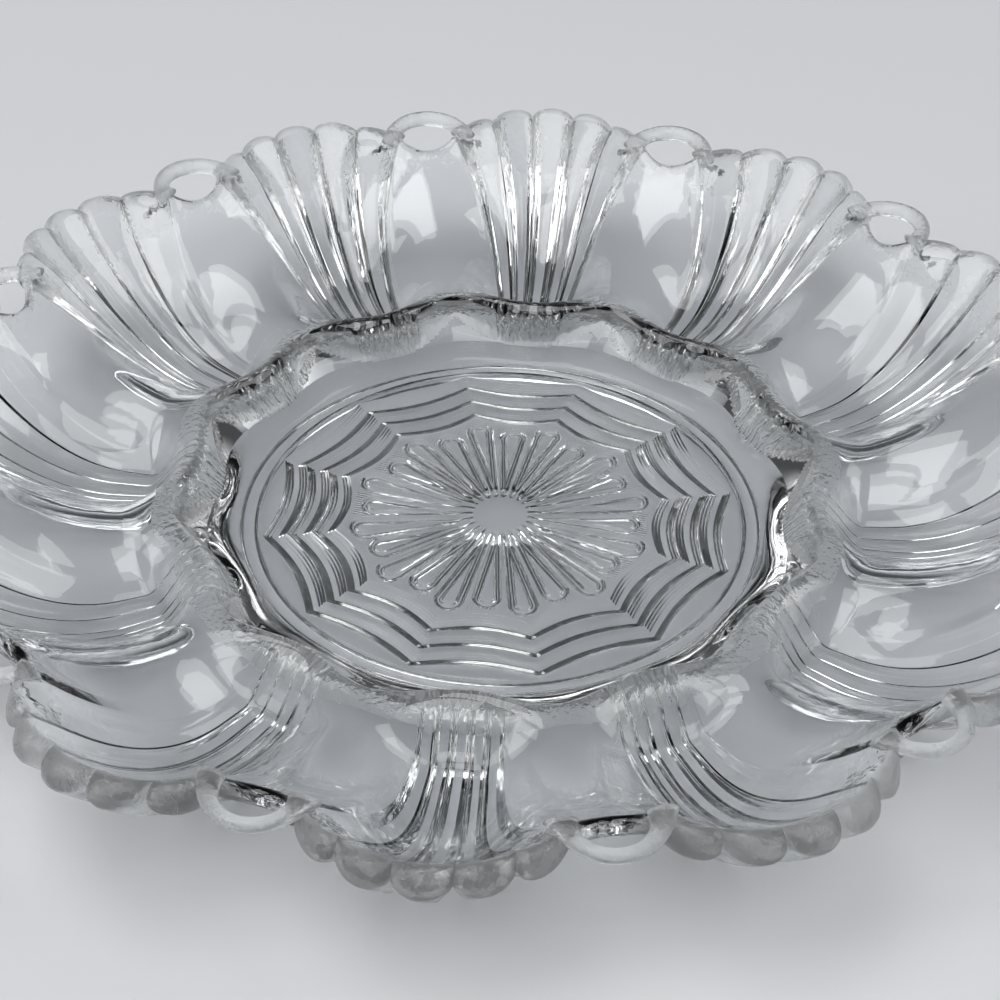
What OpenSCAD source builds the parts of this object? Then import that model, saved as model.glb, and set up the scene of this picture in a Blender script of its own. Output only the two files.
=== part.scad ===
// Deviled egg platter in clear pressed glass.
// Twelve fluted wells stand around a flat centre with a web and sunburst pattern.
// Origin: middle of the foot ring's resting circle. Loops lie at multiples of one well angle.

/* [Plate] */
// Width across the tips of two opposite wells
plate_d = 280; // [220:5:340]
// Height from the table to the top of the rim
plate_h = 36.5; // [30:0.5:46]
// Number of egg wells, and of dividers and rim loops
wells = 12; // [8:1:14]

/* [Glass] */
// Thickness of the plain pressed wall
wall = 3.6; // [2.8:0.1:5]
// Thickness of the flat centre
centre_t = 5; // [4:0.5:7]
// How far the rounded lip stands out past the wall's end
lip_round = 1.2; // [0.4:0.1:2]

/* [Foot] */
// Middle diameter of the foot ring
foot_d = 115.6; // [90:0.2:120]
// Width of the foot ring
foot_w = 3.4; // [2:0.2:5]
// How far the foot ring stands below the flat centre
foot_h = 3; // [2.6:0.1:5]

/* [Collar] */
// Distance from the foot ring to the collar's crest in the middle of a well
collar_w = 11.5; // [8:0.1:14]
// Height of the crest over the flat centre
crest_h = 8.7; // [5:0.1:12]
// How much farther out the crest lies at a divider than at a well
crest_bulge = 4; // [1:0.1:6]
// Width of the wall between the crest and the flat centre, in the middle of a well
crest_in_w = 6.5; // [5:0.1:8]
// Width of the same wall at a divider, where the flat centre runs out to a corner
corner_in_w = 3; // [2.4:0.1:5]
// Width of the slope between the crest and the bottom of a well
crest_out_w = 12; // [9:0.5:16]

/* [Wells] */
// Flutes under each well
flutes = 5; // [3:2:7]
// How far the bottom of a well lies below the flat centre
well_drop = 2; // [0:0.1:2.4]
// Depth of a flute's channel on the upper side
channel_h = 0.5; // [0.2:0.1:1]
// Angle from the middle of a well to its outer flute line at the collar
band_in_angle = 6.9; // [4:0.1:8]
// Angle from the middle of a well to its outer flute line at the rim
band_out_angle = 11.6; // [9:0.1:12.4]
// Angle by which a well's rounded end has turned back at its outer flute line
lobe_turn = 35; // [25:1:50]
// Depth of the scallop that each flute makes in the rim
scallop_h = 1; // [0.5:0.1:3]

/* [Dividers] */
// Height of a divider over the flat centre where it meets the collar
ridge_h = 8; // [5:0.1:11]
// How far the rounded hole cuts into the end of a divider
hole_cut = 3; // [1:0.1:5]

/* [Loops] */
// Thickness of the bar that closes each loop
bar_d = 3.6; // [3:0.1:6]
// How far the bar's middle line runs inside the wells beside it
bar_grip = 1; // [0.5:0.1:3]
// Half of the angle that the bar bends through
bar_half_angle = 98; // [80:1:110]
// How far the bend's centre lies outside the wells' outer flute lines
bar_set_out = 0.3; // [0:0.1:4]
// How far the bar stands above the rim
bar_lift = 1; // [0:0.1:2]

/* [Medallion] */
// Petals of the sunburst in one side of the web
side_petals = 2; // [1:1:3]
// Gap between a long petal and a corner of the web's inner line
corner_gap = 3; // [1:0.1:6]
// Gap between a short petal and the middle of a side of the web's inner line
side_gap = 2.4; // [1:0.1:5]
// Gap between the ends of two petals
petal_gap = 1.7; // [0.5:0.1:4]
// Width of the raised line around a petal
petal_line_w = 1.1; // [0.8:0.1:1.6]
// Radius of the smooth hub
hub_r = 7; // [5:0.5:10]
// Rings of the web
web_rings = 3; // [1:1:3]
// Gap between the web's corners and the foot ring
web_gap = 1.3; // [0.5:0.1:5]
// Distance between two web lines
web_pitch = 5.6; // [4:0.1:5.6]
// How far a web line sags inward between two corners
web_sag = 1.9; // [0.5:0.1:3]
// Height of the pattern on the under side
under_relief_h = 1.3; // [0.6:0.1:1.6]
// Height of the pattern on the upper side
upper_relief_h = 0.6; // [0.3:0.1:1]

/* [Hidden] */
step_angle = 360 / wells;
half_angle = step_angle / 2;
rim_r = plate_d / 2;
centre_z = foot_h + centre_t;
rim_z = plate_h - centre_z;
foot_in_r = (foot_d - foot_w) / 2;
foot_out_r = (foot_d + foot_w) / 2;
crest_r = foot_out_r + collar_w;

// The web's outer and inner line at their corners, and the petals inside them
web_r = foot_in_r - web_gap;
web_in_r = web_r - web_rings * web_pitch;
petals = wells * side_petals;
petal_long = web_in_r - corner_gap;
petal_short = web_in_r * cos(half_angle) - web_sag - side_gap;
petal_w = (2 * PI * petal_long / petals - petal_gap) / (1 + PI / petals);

// A flute is a set share of its own width thick, so it grows toward the rim.
flute_share = 0.27;
// Share of the way out at which a well's outer wall starts to rise
rise_share = 0.3;
// Power of the widening of the fluted band toward the rim
band_power = 3;
// Power of the rise of a well's outer wall
rise_power = 2;
// Power of a divider's rise
ridge_power = 2.5;
// Share of the half angle over which a well's bottom stays level before its side rises
level_share = 0.15;
// Share of the crest's inner wall that is its rounded top
crest_top_share = 0.25;

// Numbers of steps: along a well, across a flute, across a divider, along a web side
row_steps = 8;
flute_steps = 3;
divider_steps = 4;
web_steps = 4;
// Power that sets the rows closer together near the collar
row_power = 1.6;
// Half of the distance over which a slope is measured
probe = wall / 400;
// Sides of the drawn circles: foot ring, hub, loop's bend, loop's bar, petal end
ring_sides = 180;
hub_sides = 64;
bend_sides = 72;
bar_sides = 36;
petal_sides = 32;

clear_glass = [0.86, 0.90, 0.93, 0.45];

// Smooth step from 0 to 1
function smooth(x) = let (c = min(1, max(0, x))) c * c * (3 - 2 * c);
function mix(a, b, share) = a + (b - a) * share;

// Place in one flute: -1 and 1 at its two edge lines, 0 at its crown
function in_flute(s) = let (f = (s + 1) / 2 * flutes) 2 * (f - min(flutes - 1, floor(f))) - 1;
// Fullness of a flute: 0 at its edge lines and 1 at the two steps beside its crown
function fullness(s) = min(1, (1 - pow(in_flute(s), 2)) / (1 - 1 / pow(flute_steps, 2)));

// Crest line of the collar, as a radius, at an angle from the middle of a well
function crest_line(a) = crest_r + crest_bulge * (1 - cos(180 * a / half_angle)) / 2;
// Foot line of the collar's inner wall, which runs out to a corner at each divider
function collar_foot(a) =
    crest_r - crest_in_w + (crest_bulge + crest_in_w - corner_in_w) * pow(a / half_angle, 2);

// Width and thickness of a flute at the rim, and how steep the wall is there
rim_pitch = 2 * rim_r * sin(band_out_angle) / flutes;
rim_flute = flute_share * rim_pitch;
rim_thick = wall + rim_flute;
rim_lean = atan(rise_power * (rim_z + well_drop) / ((rim_r - rim_thick - crest_r) * (1 - rise_share)));

// How much shorter a well is at its outer flute line than in the middle
lobe_drop = rim_r * sin(band_out_angle) * tan(lobe_turn) / 2;

// The rim's upper edge before the scallops, set in by the leaning end of the wall
function rim_line(a) =
    rim_r - rim_thick * sin(rim_lean) - lobe_drop * pow(a / band_out_angle, 2);
function rim_edge(s) = rim_line(s * band_out_angle) - scallop_h * (1 - fullness(s));

// Half of a fluted band's angle, v of the way out along the well
function band_angle(v) = mix(band_in_angle, band_out_angle, pow(v, band_power));

// Height of the upper face over the flat centre, from a radius, an angle and the rim's radius there
function well_floor(r, end_r) =
    let (start_r = mix(crest_r, end_r, rise_share))
    -well_drop + (rim_z + well_drop) * pow(max(0, (r - start_r) / (end_r - start_r)), rise_power);
function ridge_line(r) =
    let (start_r = crest_line(half_angle), end_r = rim_line(band_out_angle))
    ridge_h + (rim_z - ridge_h) * pow(min(1, max(0, (r - start_r) / (end_r - start_r))), ridge_power);
function valley_z(r, a, end_r) =
    mix(well_floor(r, end_r), ridge_line(r),
        smooth((abs(a) / half_angle - level_share) / (1 - level_share)));
function upper_z(r, a, end_r) =
    mix(crest_h, valley_z(r, a, end_r), smooth((r - crest_line(a)) / crest_out_w));

// One point pair of the wall: the upper point, and the lower one at the wall's thickness from it
function wall_dir(r, a, end_r) =
    atan2(upper_z(r + probe, a, end_r) - upper_z(r - probe, a, end_r), 2 * probe);
function lean_share(v) = max(0, (v - rise_share) / (1 - rise_share));
function lower_shift(b, thick, v) =
    let (out = thick * sin(b) * lean_share(v))
    [out, (thick - out * sin(b)) / cos(b)];

// Points of one cross-section: the upper face from the crest line out, the lip, the lower face back.
// turns are the directions of its rows, and spans their angles from the middle of the nearest well.
row_shares = [for (i = [0 : row_steps]) pow(i / row_steps, row_power)];
function place(r, a, z) = [r * cos(a), r * sin(a), z + centre_z];
function wall_section(turns, spans, start_r, end_r, flat_end_r, flute, channel) =
    let (
        last = row_steps,
        radii = [for (v = row_shares) mix(start_r, end_r, v)],
        tops = [for (i = [0 : last]) upper_z(radii[i], spans[i], flat_end_r) - channel * row_shares[i]],
        dirs = [for (i = [0 : last]) wall_dir(radii[i], spans[i], flat_end_r)],
        thick = [for (v = row_shares) wall + flute * mix(in_share, 1, v)],
        shifts = [for (i = [0 : last]) lower_shift(dirs[i], thick[i], row_shares[i])],
        lip_r = end_r + thick[last] / 2 * sin(dirs[last]) + lip_round * cos(dirs[last]),
        lip_z = tops[last] - thick[last] / 2 * cos(dirs[last]) + lip_round * sin(dirs[last])
    )
    concat(
        [for (i = [0 : last]) place(radii[i], turns[i], tops[i])],
        [place(lip_r, turns[last], lip_z)],
        [for (i = [last : -1 : 0]) place(radii[i] + shifts[i][0], turns[i], tops[i] - shifts[i][1])]
    );
// A flute at the collar is this share as thick as at the rim.
in_share = band_in_angle / band_out_angle * crest_r / rim_r;

// Cross-section of a well at s, from -1 to 1 between its outer flute lines
function well_section(s) =
    let (q = fullness(s), turns = [for (v = row_shares) s * band_angle(v)])
    wall_section(turns, turns, crest_line(s * band_in_angle), rim_edge(s),
        rim_line(s * band_out_angle), q * rim_flute, q * channel_h);

// Cross-section of a divider at u, from -1 to 1 between the wells beside it
function divider_section(u) =
    let (
        turns = [for (v = row_shares) u * (half_angle - band_angle(v))],
        spans = [for (a = turns) half_angle - abs(a)],
        end_r = rim_edge(1) - hole_cut * (1 - pow(u, 2))
    )
    wall_section(turns, spans, crest_line(spans[0]), end_r, rim_line(band_out_angle), 0, 0);

// Skin over a row of cross-sections, closed in a ring or capped at both ends.
// A capped section lists its upper points, one lip point and its lower points backward.
function quad(a, b, c, d) = [[a, b, c], [a, c, d]];
module skin(sections, ring = false) {
    n = len(sections[0]);
    count = len(sections);
    top_last = (n - 3) / 2;
    sides = [for (j = [0 : ring ? count - 1 : count - 2], i = [0 : n - 1])
        let (k = (j + 1) % count, m = (i + 1) % n)
        each quad(j * n + i, k * n + i, k * n + m, j * n + m)];
    cap = [for (i = [0 : top_last - 1]) each quad(i, i + 1, n - 2 - i, n - 1 - i)];
    tip = [[top_last, top_last + 1, top_last + 2]];
    first_end = ring ? [] : concat(cap, tip);
    last_end = [for (f = first_end) [for (x = [2 : -1 : 0]) f[x] + (count - 1) * n]];
    polyhedron(points = [for (s = sections) each s], faces = concat(sides, first_end, last_end),
        convexity = 8);
}

// Egg well, from the collar's crest to the scalloped rim
module well(k) {
    steps = flutes * flute_steps;
    color(clear_glass) rotate([0, 0, k * step_angle - half_angle])
        skin([for (j = [0 : steps]) well_section(2 * j / steps - 1)]);
}

// Smooth saddle between two wells, from the collar's crest to the loop's hole
module divider(k) {
    color(clear_glass) rotate([0, 0, k * step_angle])
        skin([for (j = [0 : divider_steps]) divider_section(2 * j / divider_steps - 1)]);
}

// Bent bar that closes the loop's hole outside a divider
module loop(k) {
    end_r = rim_line(band_out_angle);
    bend_r = end_r * sin(half_angle - band_out_angle) + bar_grip;
    color(clear_glass) rotate([0, 0, k * step_angle])
        translate([end_r + bar_set_out, 0, plate_h + bar_lift - bar_d / 2])
        rotate([0, 0, -bar_half_angle])
        rotate_extrude(angle = 2 * bar_half_angle, $fn = bend_sides)
        translate([bend_r, 0])
        circle(d = bar_d, $fn = bar_sides);
}

// Collar: the wall between the flat centre and the crest line, scalloped in plan
function collar_section(turn, a, flute) =
    let (
        top_r = crest_line(a),
        low_r = collar_foot(a),
        knee_r = mix(low_r, top_r, knee_share),
        round_r = mix(top_r, low_r, crest_top_share),
        under_z = crest_h - wall - flute
    )
    [for (p = [
        [foot_out_r, 0],
        [low_r, 0],
        [knee_r, crest_h * knee_share],
        [round_r, crest_h * round_share],
        [top_r, crest_h],
        [top_r, under_z],
        [knee_r, mix(-centre_t, under_z, knee_share)],
        [foot_out_r, -centre_t]
    ]) place(p[0], turn + a, p[1])];
// Share of the collar's width, and of its height, at which its inner wall has its knee
knee_share = 0.45;
// Share of the collar's height at which its rounded top starts
round_share = 0.94;
well_stations = [for (j = [0 : flutes * flute_steps]) 2 * j / (flutes * flute_steps) - 1];
divider_stations = [for (j = [1 : divider_steps - 1]) 2 * j / divider_steps - 1];
module collar() {
    thick = rim_flute * in_share;
    gap_angle = half_angle - band_in_angle;
    color(clear_glass) skin([for (k = [0 : wells - 1]) each concat(
        [for (s = well_stations)
            collar_section(k * step_angle + half_angle, s * band_in_angle, thick * fullness(s))],
        [for (u = divider_stations) u > 0
            ? collar_section((k + 1) * step_angle + half_angle, (u - 1) * gap_angle - band_in_angle, 0)
            : collar_section(k * step_angle + half_angle, (u + 1) * gap_angle + band_in_angle, 0)]
    )], ring = true);
}

// Web line, counted from 0 outside: a chord between two corners that sags toward the centre
function web_line(line, a) =
    (web_r - line * web_pitch) * cos(half_angle) / cos(a) - web_sag * (1 - pow(a / half_angle, 2));
function web_points(line) = [for (k = [0 : wells - 1], j = [0 : web_steps - 1])
    let (a = mix(-half_angle, half_angle, j / web_steps), r = web_line(line, a))
    [r * cos(a + k * step_angle + half_angle), r * sin(a + k * step_angle + half_angle)]];

// Rounded rope between two web lines, raised on both faces of the flat centre
module web_ring(k) {
    inner = web_points(k);
    outer = web_points(k - 1);
    color(clear_glass) skin([for (j = [0 : len(inner) - 1]) [
        web_point(inner, outer, j, 0, centre_z),
        web_point(inner, outer, j, crown_share, centre_z + upper_relief_h),
        web_point(inner, outer, j, 1, centre_z),
        web_point(inner, outer, j, 1, foot_h),
        web_point(inner, outer, j, 1 - rope_share, foot_h - under_relief_h),
        web_point(inner, outer, j, rope_share, foot_h - under_relief_h),
        web_point(inner, outer, j, 0, foot_h)
    ]], ring = true);
}
// Share of a rope's width at which its crown lies, and at which its flat under side starts
crown_share = 0.5;
rope_share = 0.3;
function web_point(inner, outer, j, share, z) =
    let (p = mix(inner[j], outer[j], share))
    [p[0], p[1], z];

// Petal outline: narrow at the hub and round at its outer end
module petal_shape(tip_r, w) {
    end_r = tip_r - w / 2;
    polygon([[0, 0], [end_r, -w / 2], [end_r, w / 2]]);
    translate([end_r, 0]) circle(d = w, $fn = petal_sides);
}

// Raised line around one petal, with its middle left flat
module petal(tip_r, h) {
    linear_extrude(h) difference() {
        petal_shape(tip_r, petal_w);
        petal_shape(tip_r - petal_line_w, petal_w - 2 * petal_line_w);
        circle(r = hub_r, $fn = hub_sides);
    }
}

// Petals around a smooth hub, on both faces of the centre
module sunburst() {
    color(clear_glass) union() {
        translate([0, 0, foot_h]) linear_extrude(centre_t) polygon(web_points(web_rings));
        for (k = [0 : petals - 1]) rotate([0, 0, k * 360 / petals]) {
            tip_r = k % side_petals == 0 ? petal_long : petal_short;
            translate([0, 0, centre_z - overrun]) petal(tip_r, upper_relief_h + overrun);
            translate([0, 0, foot_h - under_relief_h]) petal(tip_r, under_relief_h + overrun);
        }
    }
}
// How far a raised line runs into the glass, so that it joins it
overrun = centre_t / 25;

// Flat glass between the web and the foot ring
module centre_margin() {
    color(clear_glass) translate([0, 0, foot_h]) linear_extrude(centre_t) difference() {
        circle(r = foot_in_r, $fn = ring_sides);
        polygon(web_points(0));
    }
}

// Foot ring under the flat centre, with eased edges
module foot_ring() {
    ease = foot_w * ease_share;
    color(clear_glass) rotate_extrude($fn = ring_sides) polygon([
        [foot_in_r + ease, 0],
        [foot_out_r - ease, 0],
        [foot_out_r, ease],
        [foot_out_r, centre_z],
        [foot_in_r, centre_z],
        [foot_in_r, ease]
    ]);
}
// Share of the foot ring's width that its eased edge takes
ease_share = 0.2;

foot_ring();
centre_margin();
sunburst();
collar();
for (k = [1 : web_rings]) web_ring(k);
for (k = [1 : wells]) well(k);
for (k = [1 : wells]) divider(k);
for (k = [1 : wells]) loop(k);
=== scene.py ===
"""Deviled egg platter in clear pressed glass, on a pale studio floor.

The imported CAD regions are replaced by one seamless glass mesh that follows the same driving
dimensions at a finer step, with the fluting, web and sunburst on the under side.
"""
import math

import bpy
import numpy as np
from mathutils import Matrix, Vector

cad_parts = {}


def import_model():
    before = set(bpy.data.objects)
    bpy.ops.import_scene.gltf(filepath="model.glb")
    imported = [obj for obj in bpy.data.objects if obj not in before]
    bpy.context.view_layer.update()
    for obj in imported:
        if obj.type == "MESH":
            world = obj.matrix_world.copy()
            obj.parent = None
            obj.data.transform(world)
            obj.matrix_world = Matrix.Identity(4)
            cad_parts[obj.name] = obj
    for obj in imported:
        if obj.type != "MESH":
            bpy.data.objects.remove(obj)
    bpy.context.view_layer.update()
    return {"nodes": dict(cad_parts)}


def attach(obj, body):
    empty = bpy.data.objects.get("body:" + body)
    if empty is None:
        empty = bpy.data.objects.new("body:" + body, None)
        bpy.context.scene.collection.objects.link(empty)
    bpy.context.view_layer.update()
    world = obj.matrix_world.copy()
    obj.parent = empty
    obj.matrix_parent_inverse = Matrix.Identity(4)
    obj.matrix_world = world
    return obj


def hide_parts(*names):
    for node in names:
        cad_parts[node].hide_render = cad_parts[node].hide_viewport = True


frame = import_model()

MM = 0.001

# Plate
PLATE_R = 140 * MM
PLATE_H = 36.5 * MM
WELLS = 12
STEP_ANGLE = math.radians(360 / WELLS)
HALF_ANGLE = STEP_ANGLE / 2

# Glass
WALL = 3.6 * MM
CENTRE_T = 5 * MM
FOOT_R = 57.8 * MM
FOOT_W = 3.4 * MM
FOOT_H = 3 * MM
FOOT_ROUND = FOOT_W * 0.25
# Angles, in degrees, at which a rounded edge of the foot ring has a point
FOOT_TURNS = (0, 22.5, 45, 67.5, 90)
CENTRE_Z = FOOT_H + CENTRE_T
# The rounded lip rises this far over the end of the wall's upper face.
LIP_LIFT = 0.6 * MM
RIM_Z = PLATE_H - CENTRE_Z - LIP_LIFT

# Collar
CREST_R = 71 * MM
CREST_H = 8.7 * MM
CREST_BULGE = 4 * MM
CREST_IN_W = 6.5 * MM
CORNER_IN_W = 3 * MM
CREST_OUT_W = 12 * MM
CREST_POWER = 0.9

# Wells
FLUTES = 5
WELL_DROP = 2 * MM
# Half the fluted band's angle at the collar and at the rim
BAND_IN = math.radians(6.9)
BAND_OUT = math.radians(11.6)
BAND_POWER = 3
LOBE_DROP = 9.85 * MM
SCALLOP_H = 1.0 * MM
FLUTE_SHARE = 0.27
FLANK_SHARE = 0.55
BEAD_FULLNESS = 0.97
# How late along the wall the flat flutes turn into round beads
ROUND_POWER = 6
CHANNEL_H = 0.12 * MM
RISE_SHARE = 0.3
RISE_POWER = 2
# On the steep slope by the collar the wall grows by this share of what would keep its thickness.
STEEP_STRETCH = 0.3
LEVEL_SHARE = 0.15
LIP_SHARE = 0.33

# Pebbled glass under the collar's crest
PEBBLE_H = 0.28 * MM
PEBBLE_W = 0.6 * MM
PEBBLE_COUNT = 330
PEBBLE_OUT_W = 2.2 * MM
PEBBLE_EDGE_W = 0.8 * MM
PEBBLE_FADE_W = 1.4 * MM
# The chips sway to the side with the radius, drift in a few long waves and shift out of line.
CHIP_SWAY = 2.1
CHIP_DRIFT = 1.3
CHIP_DRIFTS = 7
CHIP_SHIFT = 2.7
CHIP_SHIFTS = 41
# The matt glass reaches this much further out than the pebbles.
MATT_OUT_W = 2.5 * MM
# The glass is matt from these shares of the wall's length on: under the beads, under the dividers'
# ends and on the upper face. The loops are matt all over.
MATT_RIM_SHARE = 0.94
MATT_LOOP_SHARE = 0.975
MATT_LIP_SHARE = 0.98
# A strip of half matt glass, this share of the wall's length wide, leads over to the matt beads.
SILK_SHARE = 0.06
# Material slots of the matt and the half matt glass, after the clear glass in slot 0
MATT_SLOT = 1
SILK_SLOT = 2

# Dividers
RIDGE_H = 8 * MM
RIDGE_POWER = 2.5
HOLE_CUT = 3 * MM

# Loops
# The bar leans outward with the rim, so its section is longer along the wall's slope than across it.
BAR_LONG_R = 2.0 * MM
BAR_CROSS_R = 1.5 * MM
BAR_BEND_R = 8.3 * MM
BAR_HALF_ANGLE = math.radians(98)
BAR_SET_OUT = 0.3 * MM
BAR_Z = 35.5 * MM
# Toward its ends the bar grows wider by this share, as it runs into the wells' rims.
BAR_FLARE = 0.6
BAR_FLARE_POWER = 6
# The bar's ends spread this far apart, so that they run into the wells' rims.
BAR_SPREAD = 1.1 * MM
BAR_SPREAD_POWER = 4

# Medallion
PETALS = 24
PETAL_LONG = 35 * MM
PETAL_SHORT = 32.4 * MM
PETAL_W = 6.6 * MM
PETAL_LINE_W = 1.8 * MM
PETAL_LINE_H = 1.5 * MM
HUB_R = 5.5 * MM
WEB_RINGS = 3
WEB_R = 54.8 * MM
WEB_PITCH = 5.6 * MM
WEB_SAG = 1.9 * MM
WEB_FLANK_SHARE = 0.4
WEB_CROWN_SHARE = 0.3
# Each flank of a flute or a rope rises in this many fine steps.
FLUTE_TERRACES = 3
WEB_TERRACES = 3
RELIEF_H = 1.7 * MM
STIPPLE_H = 0.07 * MM
STIPPLE_WAVE = 1.2 * MM
# The two directions of the stipple's waves, and the shares of the sunburst's radius between which it lies
STIPPLE_AXES = ((1, 0.37), (0.31, 1.07))
STIPPLE_START = 0.6
STIPPLE_END = 0.97

# Mesh steps
FLUTE_STEPS = 28
DIVIDER_STEPS = 28
WALL_ROWS = 72
COLLAR_ROWS = 28
LIP_ROWS = 8
MARGIN_ROWS = 4
CENTRE_ROWS = 12
ROPE_ROWS = 45
BEND_STEPS = 48
BAR_STEPS = 20
PETAL_ROWS = 120
# The rows of the wall lie closer together near the collar, where the glass is pebbled.
ROW_POWER = 1.5
WALL_SHARES = [(i / WALL_ROWS) ** ROW_POWER for i in range(WALL_ROWS + 1)]

# The smooth rim lies this far inside the faceted one of the solids.
RIM_INSET = 0.2 * MM
RIM_PITCH = 2 * PLATE_R * math.sin(BAND_OUT) / FLUTES
RIM_FLUTE = FLUTE_SHARE * RIM_PITCH
RIM_THICK = WALL + RIM_FLUTE
RIM_LEAN = math.atan(
    RISE_POWER * (RIM_Z + WELL_DROP) / ((PLATE_R - RIM_THICK - CREST_R) * (1 - RISE_SHARE))
)
# A flute at the collar is this share as deep as at the rim.
IN_SHARE = 0.45


def smooth(x):
    """Smooth step from 0 to 1."""
    c = np.clip(x, 0, 1)
    return c * c * (3 - 2 * c)


def mix(a, b, share):
    return a + (b - a) * share


def terraced(x, count):
    """Rise from 0 to 1 in a few smooth steps, as fine lines cut into a mould's flank."""
    place = np.clip(x, 0, 1) * count
    step = np.minimum(np.floor(place), count - 1)
    return (step + smooth(place - step)) / count


def flute_place(j):
    """Place across the fluted band, from -1 to 1, with the steps closer together at the flutes' edges."""
    number = min(FLUTES - 1, j // FLUTE_STEPS)
    across = math.sin(math.pi * ((j - number * FLUTE_STEPS) / FLUTE_STEPS - 0.5))
    return 2 * (number + (across + 1) / 2) / FLUTES - 1


# Columns run once round the plate. Each has a place in its well's fluted band or in a divider.
def columns():
    """Well number, place s in the fluted band, place u in the divider, and which of the two."""
    places = []
    for k in range(WELLS):
        places += [(k, flute_place(j), 0, True) for j in range(FLUTES * FLUTE_STEPS + 1)]
        places += [(k, 1, 2 * j / DIVIDER_STEPS, False) for j in range(1, DIVIDER_STEPS)]
    return [np.array(values) for values in zip(*places)]


WELL, S, U, FLUTED = columns()
COLUMNS = len(WELL)


def in_flute(s):
    """Place in one flute: 0 at its crown and 1 at its two edge lines."""
    place = (s + 1) / 2 * FLUTES
    return np.abs(2 * (place - np.minimum(FLUTES - 1, np.floor(place))) - 1)


# Under a well a flute has a broad crown and steep flanks, and at the rim it is a round bead.
FLAT_FLUTE = np.where(FLUTED, terraced((1 - in_flute(S)) / FLANK_SHARE, FLUTE_TERRACES), 0)
BEAD = np.sqrt(1 - BEAD_FULLNESS * in_flute(S) ** 2)
BEAD_EDGE = math.sqrt(1 - BEAD_FULLNESS)
ROUND_FLUTE = np.where(FLUTED, (BEAD - BEAD_EDGE) / (1 - BEAD_EDGE), 0)


def flute(v):
    """Share of a flute's height at each column, v of the way out along the wall."""
    return mix(FLAT_FLUTE, ROUND_FLUTE, v**ROUND_POWER)


def column_angles(v):
    """Angle of each column from its own well's middle, v of the way out along the wall."""
    band = mix(BAND_IN, BAND_OUT, v**BAND_POWER)
    return np.where(FLUTED, S * band, band + U * (HALF_ANGLE - band))


def from_well(angle):
    """Angle from the middle of the nearest well, where a column may belong to the well before."""
    return np.where(angle > HALF_ANGLE, STEP_ANGLE - angle, np.abs(angle))


def crest_line(a):
    """Radius of the collar's crest, at an angle from the well's middle."""
    return CREST_R + CREST_BULGE * (1 - np.cos(math.pi * a / HALF_ANGLE)) / 2


def collar_foot(a):
    """Foot line of the collar's inner wall, which runs out to a corner at each divider."""
    return CREST_R - CREST_IN_W + (CREST_BULGE + CREST_IN_W - CORNER_IN_W) * (a / HALF_ANGLE) ** 2


def rim_line(a):
    """Radius at which the wall's upper face ends, at an angle from the well's middle."""
    inset = RIM_THICK * math.sin(RIM_LEAN) + RIM_INSET
    return PLATE_R - inset - LOBE_DROP * (np.minimum(a, BAND_OUT) / BAND_OUT) ** 2


def well_floor(r, end_r):
    """Height along a well's middle, which rises to the rim at end_r."""
    start_r = mix(CREST_R, end_r, RISE_SHARE)
    rise = np.maximum(0, (r - start_r) / (end_r - start_r)) ** RISE_POWER
    return -WELL_DROP + (RIM_Z + WELL_DROP) * rise


def ridge_line(r):
    """Height along a divider's middle."""
    start_r = crest_line(HALF_ANGLE)
    share = np.clip((r - start_r) / (rim_line(BAND_OUT) - start_r), 0, 1)
    return RIDGE_H + (RIM_Z - RIDGE_H) * share**RIDGE_POWER


def upper_z(r, a, end_r):
    """Height of the upper face over the flat centre."""
    side = smooth((a / HALF_ANGLE - LEVEL_SHARE) / (1 - LEVEL_SHARE))
    valley = mix(well_floor(r, end_r), ridge_line(r), side)
    return mix(CREST_H, valley, smooth((r - crest_line(a)) / CREST_OUT_W))


def web_line(line, a):
    """Radius of a web line, counted from 0 outside, at an angle from a side's middle."""
    chord = (WEB_R - line * WEB_PITCH) * math.cos(HALF_ANGLE) / np.cos(a)
    return chord - WEB_SAG * (1 - (a / HALF_ANGLE) ** 2)


def petal_relief(r, turn):
    """Height of the rounded line around each petal at a radius and a direction round the plate."""
    pitch = 2 * math.pi / PETALS
    number = np.round(turn / pitch)
    a = turn - number * pitch
    tip_r = np.where(number % 2 == 0, PETAL_LONG, PETAL_SHORT)
    end_r = tip_r - PETAL_W / 2
    x, y = r * np.cos(a), np.abs(r * np.sin(a))
    slope = np.arctan2(PETAL_W / 2, end_r)
    to_side = x * np.sin(slope) - y * np.cos(slope)
    to_tip = PETAL_W / 2 - np.hypot(x - end_r, y)
    depth = np.where(x > end_r, to_tip, to_side)
    fade = smooth((r - HUB_R) / HUB_R)
    line = np.sin(math.pi * np.clip(depth / PETAL_LINE_W, 0, 1))
    return PETAL_LINE_H * line * fade, depth


def pebbled(r, near):
    """Share from 0 to 1 of the pebbles' full height: a band from the collar's foot line into the wells."""
    start = smooth((r - collar_foot(near)) / PEBBLE_EDGE_W)
    stop = smooth((crest_line(near) + PEBBLE_OUT_W - r) / PEBBLE_FADE_W)
    return start * stop


def pebbles(r, angles):
    """Short radial chips under the collar."""
    turn = angles + (WELL + 0.5) * STEP_ANGLE
    sway = CHIP_SWAY * np.sin(r / PEBBLE_W) + CHIP_DRIFT * np.sin(CHIP_DRIFTS * turn)
    shift = CHIP_SHIFT * np.sin(CHIP_SHIFTS * turn)
    chips = np.sin(PEBBLE_COUNT * turn + sway) * np.sin(r / PEBBLE_W + shift)
    return PEBBLE_H * chips * pebbled(r, from_well(angles))


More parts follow.
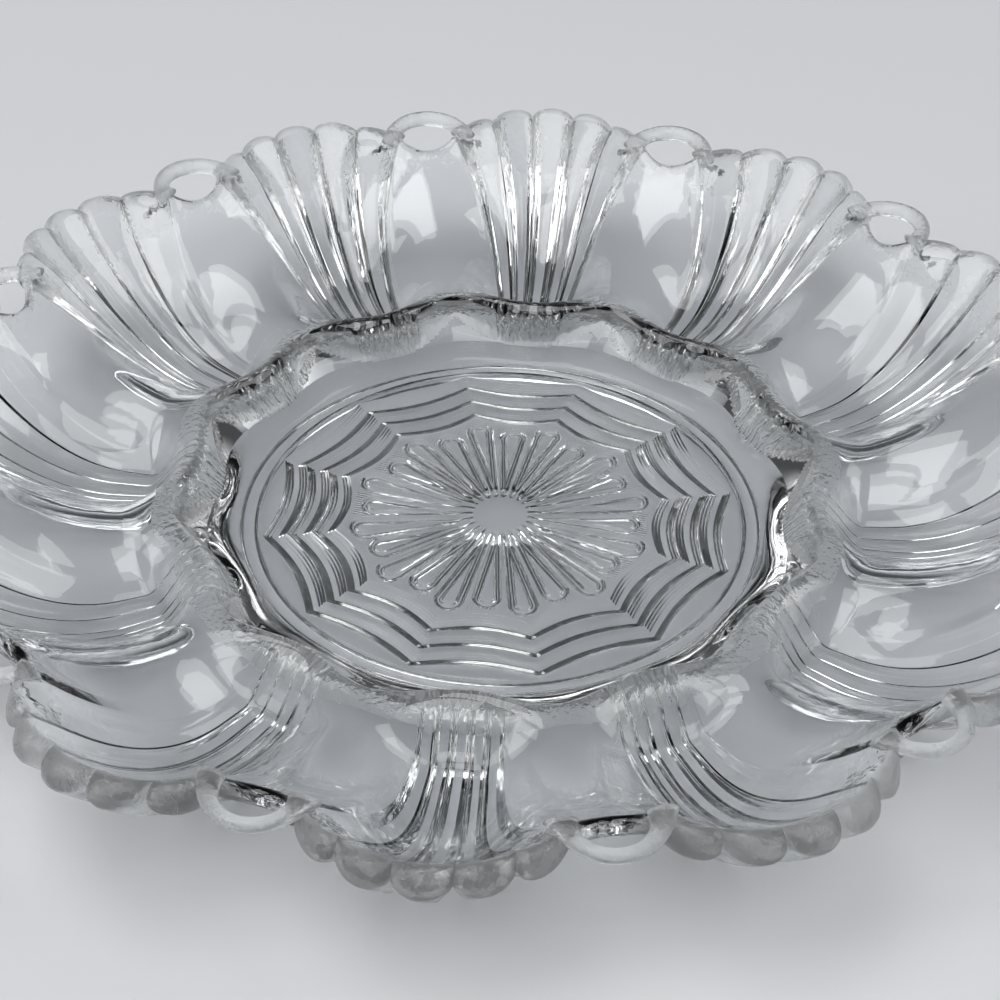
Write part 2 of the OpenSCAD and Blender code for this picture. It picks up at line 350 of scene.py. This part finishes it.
# Rows of the mesh, each as radius, angle from the well's middle and height of one point per column
def wall_points(v, lower):
    """Upper face or under side of the wall, v of the way out from the collar's crest to the rim."""
    angles = column_angles(v)
    near = from_well(angles)
    start = crest_line(from_well(column_angles(0)))
    flat_end = rim_line(from_well(column_angles(1)))
    end = flat_end - SCALLOP_H * (1 - ROUND_FLUTE) - np.where(FLUTED, 0, HOLE_CUT * (1 - (1 - U) ** 2))
    r = mix(start, end, v)
    z = upper_z(r, near, flat_end) - CHANNEL_H * v * flute(v)
    if not lower:
        return r, angles, z
    probe = 0.01 * MM
    lean = np.arctan2(upper_z(r + probe, near, flat_end) - upper_z(r - probe, near, flat_end), 2 * probe)
    thick = WALL + flute(v) * RIM_FLUTE * mix(IN_SHARE, 1, v) + pebbles(r, angles)
    # Near the collar the under side lies straight below the upper one, and further out square to it.
    square = smooth((v - RISE_SHARE) / (1 - RISE_SHARE))
    out = thick * np.sin(lean) * square
    stretch = mix(1, 1 / np.cos(lean), mix(STEEP_STRETCH, 1, square))
    return r + out, angles, z - (thick - out * np.sin(lean)) * stretch


def lip_points(share):
    """Round of the rim, from the upper edge at 0 to the lower edge at 1."""
    top_r, angles, top_z = wall_points(1, False)
    low_r, _, low_z = wall_points(1, True)
    half = np.hypot(top_r - low_r, top_z - low_z) / 2
    along = np.stack([(top_z - low_z) / (2 * half), (low_r - top_r) / (2 * half)])
    turn = math.pi * share
    bulge = 2 * LIP_SHARE * half * math.sin(turn)
    r = (top_r + low_r) / 2 + (top_r - low_r) / 2 * math.cos(turn) + along[0] * bulge
    z = (top_z + low_z) / 2 + (top_z - low_z) / 2 * math.cos(turn) + along[1] * bulge
    return r, angles, z


def collar_upper(share):
    """Upper face of the collar, from its foot line at 0 to its crest at 1."""
    angles = column_angles(0)
    near = from_well(angles)
    r = mix(collar_foot(near), crest_line(near), share)
    return r, angles, CREST_H * smooth(share**CREST_POWER) * np.ones(COLUMNS)


def collar_lower(share):
    """Under side of the collar, from its crest at 1 to the foot ring at 0."""
    angles = column_angles(0)
    near = from_well(angles)
    top_r = crest_line(near)
    foot_r = FOOT_R + FOOT_W / 2
    r = mix(foot_r, top_r, share)
    flat = mix(-CENTRE_T, CREST_H - WALL, smooth(share))
    rib = flute(0) * RIM_FLUTE * IN_SHARE * smooth((r - collar_foot(near)) / (top_r - collar_foot(near)))
    return r, angles, flat - rib - pebbles(r, angles)


def medallion_lower(line_or_share, in_web):
    """Under side inside the foot ring: by web line from 0 to the last one, then by share of the rest."""
    angles = column_angles(0)
    # The web's corners lie at the dividers, so a side's middle is a well's middle.
    near = from_well(angles)
    if in_web:
        r = web_line(line_or_share, near)
        place = line_or_share % 1
        flank = terraced(min(place, 1 - place) / WEB_FLANK_SHARE, WEB_TERRACES)
        height = RELIEF_H * mix(flank, math.sin(math.pi * place), WEB_CROWN_SHARE)
        return r, angles, -CENTRE_T - height * np.ones(COLUMNS)
    r = web_line(WEB_RINGS, near) * line_or_share
    turn = angles + (WELL + 0.5) * STEP_ANGLE
    height, depth = petal_relief(r, turn)
    wave = 2 * math.pi / STIPPLE_WAVE
    x, y = r * np.cos(turn), r * np.sin(turn)
    (ax, ay), (bx, by) = STIPPLE_AXES
    stipple = np.sin(wave * (ax * x + ay * y)) * np.sin(wave * (bx * x - by * y))
    ground = (depth < 0) & (line_or_share < STIPPLE_END) & (line_or_share > STIPPLE_START)
    return r, angles, -CENTRE_T - height - np.where(ground, STIPPLE_H * stipple, 0)


def flat_row(r_of_column, z):
    angles = column_angles(0)
    return r_of_column * np.ones(COLUMNS), angles, z * np.ones(COLUMNS)


def foot_profile():
    """Section of the foot ring, from its outer wall over the two rounded edges to its inner wall."""
    points = [(FOOT_W / 2, 0)]
    for side, turns in ((1, FOOT_TURNS), (-1, FOOT_TURNS[::-1])):
        for t in np.radians(turns):
            x = side * (FOOT_W / 2 - FOOT_ROUND + FOOT_ROUND * math.cos(t))
            points.append((x, -FOOT_H + FOOT_ROUND - FOOT_ROUND * math.sin(t)))
    points.append((-FOOT_W / 2, 0))
    return points


def plate_rows():
    """All rows, from the middle of the upper face over the rim to the middle of the under side."""
    rows = []
    foot_line = collar_foot(from_well(column_angles(0)))
    for i in range(1, CENTRE_ROWS):
        rows.append(flat_row(foot_line * i / CENTRE_ROWS, 0))
    for i in range(COLLAR_ROWS):
        rows.append(collar_upper(i / COLLAR_ROWS))
    for v in WALL_SHARES:
        rows.append(wall_points(v, False))
    for i in range(1, LIP_ROWS):
        rows.append(lip_points(i / LIP_ROWS))
    for v in WALL_SHARES[::-1]:
        rows.append(wall_points(v, True))
    for i in range(COLLAR_ROWS - 1, 0, -1):
        rows.append(collar_lower(i / COLLAR_ROWS))
    for r, z in foot_profile():
        rows.append(flat_row(FOOT_R + r, -CENTRE_T + z))
    margin = FOOT_R - FOOT_W / 2
    web_edge = web_line(0, from_well(column_angles(0)))
    for i in range(1, MARGIN_ROWS):
        rows.append(flat_row(mix(margin, web_edge, i / MARGIN_ROWS), -CENTRE_T))
    for i in range(WEB_RINGS * ROPE_ROWS):
        rows.append(medallion_lower(i / ROPE_ROWS, True))
    for i in range(PETAL_ROWS, 0, -1):
        rows.append(medallion_lower(i / PETAL_ROWS, False))
    return rows


def plate_mesh():
    """The whole plate without its loops, as one closed mesh."""
    rows = plate_rows()
    r = np.array([row[0] for row in rows])
    turn = np.array([row[1] for row in rows]) + (WELL + 0.5) * STEP_ANGLE
    z = np.array([row[2] for row in rows]) + CENTRE_Z
    points = np.stack([r * np.cos(turn), r * np.sin(turn), z], axis=-1).reshape(-1, 3)
    top_pole, low_pole = len(points), len(points) + 1
    poles = np.array([[0, 0, CENTRE_Z], [0, 0, FOOT_H]])
    points = np.concatenate([points, poles])
    i, j = np.meshgrid(np.arange(len(rows) - 1), np.arange(COLUMNS), indexing="ij")
    k = (j + 1) % COLUMNS
    quads = np.stack([
        i * COLUMNS + j, (i + 1) * COLUMNS + j, (i + 1) * COLUMNS + k, i * COLUMNS + k
    ], axis=-1).reshape(-1, 4)
    ring = np.arange(COLUMNS)
    after = (ring + 1) % COLUMNS
    last = (len(rows) - 1) * COLUMNS
    fans = [(top_pole, a, b) for a, b in zip(ring.tolist(), after.tolist())]
    fans += [(low_pole, last + b, last + a) for a, b in zip(ring.tolist(), after.tolist())]
    mesh = bpy.data.meshes.new("platter")
    mesh.from_pydata(points.tolist(), [], quads.tolist() + fans)
    mesh.update()
    # Quads under the collar and round the rim take the matt glass, and a strip beside the rim the half
    # matt one.
    normals = np.empty(3 * len(mesh.polygons), np.float32)
    mesh.polygons.foreach_get("normal", normals)
    under = normals.reshape(-1, 3)[:len(quads), 2] < 0
    near = np.array([from_well(row[1]) for row in rows])
    r, near = r[:-1], near[:-1]
    collar = (pebbled(r, near) + pebbled(r - MATT_OUT_W, near)).reshape(-1) > 0.5
    outward = ((r - crest_line(near)) / (rim_line(near) - crest_line(near))).reshape(-1)
    matt_from = (np.where(FLUTED, MATT_RIM_SHARE, MATT_LOOP_SHARE) * np.ones(r.shape)).reshape(-1)
    rim = outward > np.where(under, matt_from, MATT_LIP_SHARE)
    silky = under & (outward > matt_from - SILK_SHARE)
    slots = np.zeros(len(mesh.polygons), np.int32)
    slots[:len(quads)] = np.where((under & collar) | rim, MATT_SLOT, np.where(silky, SILK_SLOT, 0))
    mesh.polygons.foreach_set("material_index", slots)
    return mesh


def loop_mesh(number):
    """Round bar of one loop, bent from one well's rim to the next, with closed ends."""
    bend_centre_r = float(rim_line(np.array(BAND_OUT))) + BAR_SET_OUT
    turn = number * STEP_ANGLE
    points, faces = [], []
    for i in range(BEND_STEPS + 1):
        b = mix(-BAR_HALF_ANGLE, BAR_HALF_ANGLE, i / BEND_STEPS)
        to_end = abs(b / BAR_HALF_ANGLE)
        flare = 1 + BAR_FLARE * to_end**BAR_FLARE_POWER
        spread = BAR_SPREAD * to_end**BAR_SPREAD_POWER
        lean = RIM_LEAN * math.cos(b)
        for j in range(BAR_STEPS):
            c = 2 * math.pi * j / BAR_STEPS
            along = BAR_LONG_R * flare * math.cos(c)
            across = BAR_CROSS_R * math.sin(c)
            reach = BAR_BEND_R + spread + along * math.cos(lean) - across * math.sin(lean)
            height = along * math.sin(lean) + across * math.cos(lean)
            x = bend_centre_r + reach * math.cos(b)
            y = reach * math.sin(b)
            turned_x = x * math.cos(turn) - y * math.sin(turn)
            turned_y = x * math.sin(turn) + y * math.cos(turn)
            points.append((turned_x, turned_y, BAR_Z + height))
    for i in range(BEND_STEPS):
        low, high = i * BAR_STEPS, (i + 1) * BAR_STEPS
        for j in range(BAR_STEPS):
            k = (j + 1) % BAR_STEPS
            faces.append((low + j, high + j, high + k, low + k))
    faces.append(tuple(range(BAR_STEPS)))
    faces.append(tuple(BEND_STEPS * BAR_STEPS + j for j in range(BAR_STEPS - 1, -1, -1)))
    mesh = bpy.data.meshes.new("loop_bar")
    mesh.from_pydata(points, [], faces)
    mesh.update()
    return mesh


def add_object(name, mesh):
    obj = bpy.data.objects.new(name, mesh)
    bpy.context.scene.collection.objects.link(obj)
    return obj


def joined_bars():
    """All twelve bars in one mesh."""
    points, faces = [], []
    for k in range(WELLS):
        bar = loop_mesh(k)
        start = len(points)
        points += [v.co[:] for v in bar.vertices]
        faces += [[start + i for i in f.vertices] for f in bar.polygons]
        bpy.data.meshes.remove(bar)
    mesh = bpy.data.meshes.new("loop_bars")
    mesh.from_pydata(points, [], faces)
    mesh.update()
    mesh.polygons.foreach_set("material_index", [MATT_SLOT] * len(mesh.polygons))
    return mesh


# Materials
GLASS_TINT = (0.975, 0.99, 1.0, 1)
GLASS_IOR = 1.52
HAZE_SCALE = 22
HAZE_DETAIL = 5
# The haze runs from its least to its most between these two values of the noise.
HAZE_START = 0.35
HAZE_END = 0.75
WAVE_DETAIL = 2
WAVE_DEPTH = 0.6 * MM


def glass_material(name, clear_share, dull_min, dull_max, wave_scale, wave_strength):
    """Glass with a patchy haze and a slow or a fine unevenness of its surface."""
    material = bpy.data.materials.new(name)
    material.use_nodes = True
    nodes, links = material.node_tree.nodes, material.node_tree.links
    shader = nodes["Principled BSDF"]
    shader.inputs["Base Color"].default_value = GLASS_TINT
    shader.inputs["Transmission Weight"].default_value = clear_share
    shader.inputs["IOR"].default_value = GLASS_IOR
    place = nodes.new("ShaderNodeTexCoord")
    haze = nodes.new("ShaderNodeTexNoise")
    haze.inputs["Scale"].default_value = HAZE_SCALE
    haze.inputs["Detail"].default_value = HAZE_DETAIL
    links.new(place.outputs["Object"], haze.inputs["Vector"])
    haze_range = nodes.new("ShaderNodeMapRange")
    haze_range.inputs["From Min"].default_value = HAZE_START
    haze_range.inputs["From Max"].default_value = HAZE_END
    haze_range.inputs["To Min"].default_value = dull_min
    haze_range.inputs["To Max"].default_value = dull_max
    links.new(haze.outputs["Fac"], haze_range.inputs["Value"])
    links.new(haze_range.outputs["Result"], shader.inputs["Roughness"])
    waves = nodes.new("ShaderNodeTexNoise")
    waves.inputs["Scale"].default_value = wave_scale
    waves.inputs["Detail"].default_value = WAVE_DETAIL
    links.new(place.outputs["Object"], waves.inputs["Vector"])
    bump = nodes.new("ShaderNodeBump")
    bump.inputs["Strength"].default_value = wave_strength
    bump.inputs["Distance"].default_value = WAVE_DEPTH
    links.new(waves.outputs["Fac"], bump.inputs["Height"])
    links.new(bump.outputs["Normal"], shader.inputs["Normal"])
    return material


# Glass platter
platter = add_object("platter", plate_mesh())
bars = add_object("bars", joined_bars())
# Handling has dulled the polish in places, and pressing has left slow waves in the surface.
clear_glass = glass_material(
    "clear_glass", clear_share=1, dull_min=0.0, dull_max=0.05, wave_scale=130, wave_strength=0.12
)
# Under the collar and round the rim the mould has left the glass matt and rough.
matt_glass = glass_material(
    "matt_glass", clear_share=0.87, dull_min=0.22, dull_max=0.4, wave_scale=900, wave_strength=0.5
)
silk_glass = glass_material(
    "silk_glass", clear_share=1, dull_min=0.08, dull_max=0.2, wave_scale=400, wave_strength=0.3
)
for obj in (platter, bars):
    for material in (clear_glass, matt_glass, silk_glass):
        obj.data.materials.append(material)
union = platter.modifiers.new("loops", "BOOLEAN")
union.operation = "UNION"
union.solver = "MANIFOLD"
union.object = bars
bpy.context.view_layer.update()
solid = bpy.data.meshes.new_from_object(platter.evaluated_get(bpy.context.evaluated_depsgraph_get()))
platter.modifiers.clear()
platter.data = solid
bpy.data.objects.remove(bars)
platter.data.polygons.foreach_set("use_smooth", [True] * len(platter.data.polygons))


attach(platter, "root")
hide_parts(*frame["nodes"])


# Studio
STUDIO_WALL = (0.62, 0.63, 0.65, 1)
STUDIO_CEILING = (0.06, 0.063, 0.066, 1)
# The walls' colour at the horizon turns into the ceiling's up to this height, where overhead is 1.
CEILING_START = 0.4
FLOOR_HALF = 4
FLOOR_GAP = 0.2 * MM
FLOOR_ROUGHNESS = 0.6
FLOOR_GRAIN = 9
FLOOR_DARK = (0.70, 0.71, 0.73, 1)
FLOOR_LIGHT = (0.72, 0.73, 0.75, 1)
# Between these two distances from the middle the floor turns into the walls' colour.
FLOOR_NEAR = 0.5
FLOOR_FAR = 2.6


def seen_share(nodes, links):
    """1 for what the camera sees straight on, in a reflection or through glass, and 0 for light."""
    path = nodes.new("ShaderNodeLightPath")
    total = path.outputs["Is Camera Ray"]
    for kind in ("Is Glossy Ray", "Is Transmission Ray"):
        most = nodes.new("ShaderNodeMath")
        most.operation = "MAXIMUM"
        links.new(total, most.inputs[0])
        links.new(path.outputs[kind], most.inputs[1])
        total = most.outputs["Value"]
    return total


def floor_material():
    material = bpy.data.materials.new("pale_floor")
    material.use_nodes = True
    nodes, links = material.node_tree.nodes, material.node_tree.links
    shader = nodes["Principled BSDF"]
    shader.inputs["Roughness"].default_value = FLOOR_ROUGHNESS
    grain = nodes.new("ShaderNodeTexNoise")
    grain.inputs["Scale"].default_value = FLOOR_GRAIN
    ramp = nodes.new("ShaderNodeValToRGB")
    ramp.color_ramp.elements[0].color = FLOOR_DARK
    ramp.color_ramp.elements[1].color = FLOOR_LIGHT
    links.new(grain.outputs["Fac"], ramp.inputs["Fac"])
    links.new(ramp.outputs["Color"], shader.inputs["Base Color"])
    # Far from the platter the floor turns into the even pale colour of the studio's walls.
    place = nodes.new("ShaderNodeTexCoord")
    away = nodes.new("ShaderNodeVectorMath")
    away.operation = "LENGTH"
    links.new(place.outputs["Object"], away.inputs[0])
    far = nodes.new("ShaderNodeMapRange")
    far.interpolation_type = "SMOOTHSTEP"
    far.inputs["From Min"].default_value = FLOOR_NEAR
    far.inputs["From Max"].default_value = FLOOR_FAR
    links.new(away.outputs["Value"], far.inputs["Value"])
    seen = seen_share(nodes, links)
    share = nodes.new("ShaderNodeMath")
    share.operation = "MULTIPLY"
    links.new(far.outputs["Result"], share.inputs[0])
    links.new(seen, share.inputs[1])
    wall = nodes.new("ShaderNodeEmission")
    wall.inputs["Color"].default_value = STUDIO_WALL
    blend = nodes.new("ShaderNodeMixShader")
    links.new(share.outputs["Value"], blend.inputs["Fac"])
    links.new(shader.outputs["BSDF"], blend.inputs[1])
    links.new(wall.outputs["Emission"], blend.inputs[2])
    links.new(blend.outputs["Shader"], nodes["Material Output"].inputs["Surface"])
    return material


def floor():
    mesh = bpy.data.meshes.new("floor")
    signs = ((-1, -1), (1, -1), (1, 1), (-1, 1))
    corners = [(x * FLOOR_HALF, y * FLOOR_HALF, -FLOOR_GAP) for x, y in signs]
    mesh.from_pydata(corners, [], [(0, 1, 2, 3)])
    mesh.materials.append(floor_material())
    obj = add_object("floor", mesh)


# Softboxes, each with its azimuth, elevation, distance, width, height and watts
SOFTBOXES = {
    "top_softbox": (180, 76, 3.2, 2.0, 1.7, 39),
    "front_softbox": (-100, 54, 3.2, 2.0, 1.5, 30),
    "left_softbox": (185, 38, 3.5, 1.5, 2.0, 30),
    "right_softbox": (-10, 36, 3.5, 1.5, 2.0, 30),
}


def softbox(name, azimuth, elevation, distance, width, height, watts):
    """Area lamp that faces the platter's middle."""
    lamp = bpy.data.lights.new(name, "AREA")
    lamp.shape = "RECTANGLE"
    lamp.size, lamp.size_y = width, height
    lamp.energy = watts
    obj = bpy.data.objects.new(name, lamp)
    a, e = math.radians(azimuth), math.radians(elevation)
    place = Vector((math.cos(e) * math.cos(a), math.cos(e) * math.sin(a), math.sin(e))) * distance
    obj.location = place
    obj.rotation_euler = place.to_track_quat("Z", "Y").to_euler()
    bpy.context.scene.collection.objects.link(obj)


def world():
    """Studio with pale walls near the floor's level and a dim ceiling."""
    w = bpy.data.worlds.new("studio")
    bpy.context.scene.world = w
    w.use_nodes = True
    nodes, links = w.node_tree.nodes, w.node_tree.links
    back = nodes["Background"]
    place = nodes.new("ShaderNodeTexCoord")
    split = nodes.new("ShaderNodeSeparateXYZ")
    ramp = nodes.new("ShaderNodeValToRGB")
    ramp.color_ramp.interpolation = "EASE"
    ramp.color_ramp.elements[0].position = 0.0
    ramp.color_ramp.elements[0].color = STUDIO_WALL
    ramp.color_ramp.elements[1].position = CEILING_START
    ramp.color_ramp.elements[1].color = STUDIO_CEILING
    links.new(place.outputs["Generated"], split.inputs["Vector"])
    links.new(split.outputs["Z"], ramp.inputs["Fac"])
    links.new(ramp.outputs["Color"], back.inputs["Color"])


def camera():
    """The photograph's camera, fitted to the foot ring, the web, the well tips and the loops."""
    turn = math.radians(-9.6)
    distance = 499.1 * MM
    elevation = 0.67823284
    roll = 0.01349
    focal_share = 2.17016
    data = bpy.data.cameras.new("camera")
    data.sensor_width = 36
    data.lens = focal_share * data.sensor_width
    data.clip_start = 0.01
    spot = Vector((0, -distance * math.cos(elevation), distance * math.sin(elevation)))
    target = Vector((-0.16 * MM, 1.98 * MM, 0))
    forward = (target - spot).normalized()
    right = forward.cross(Vector((0, 0, 1))).normalized()
    up = right.cross(forward)
    right, up = right * math.cos(roll) + up * math.sin(roll), up * math.cos(roll) - right * math.sin(roll)
    pose = Matrix((right, up, -forward)).transposed().to_4x4()
    pose.translation = spot
    obj = bpy.data.objects.new("camera", data)
    lift = Matrix.Translation((0, 0, CENTRE_Z))
    obj.matrix_world = lift @ Matrix.Rotation(turn, 4, "Z") @ pose
    bpy.context.scene.collection.objects.link(obj)
    bpy.context.scene.camera = obj


floor()
for name, values in SOFTBOXES.items():
    softbox(name, *values)
world()
camera()
bpy.context.scene.view_settings.view_transform = "Standard"
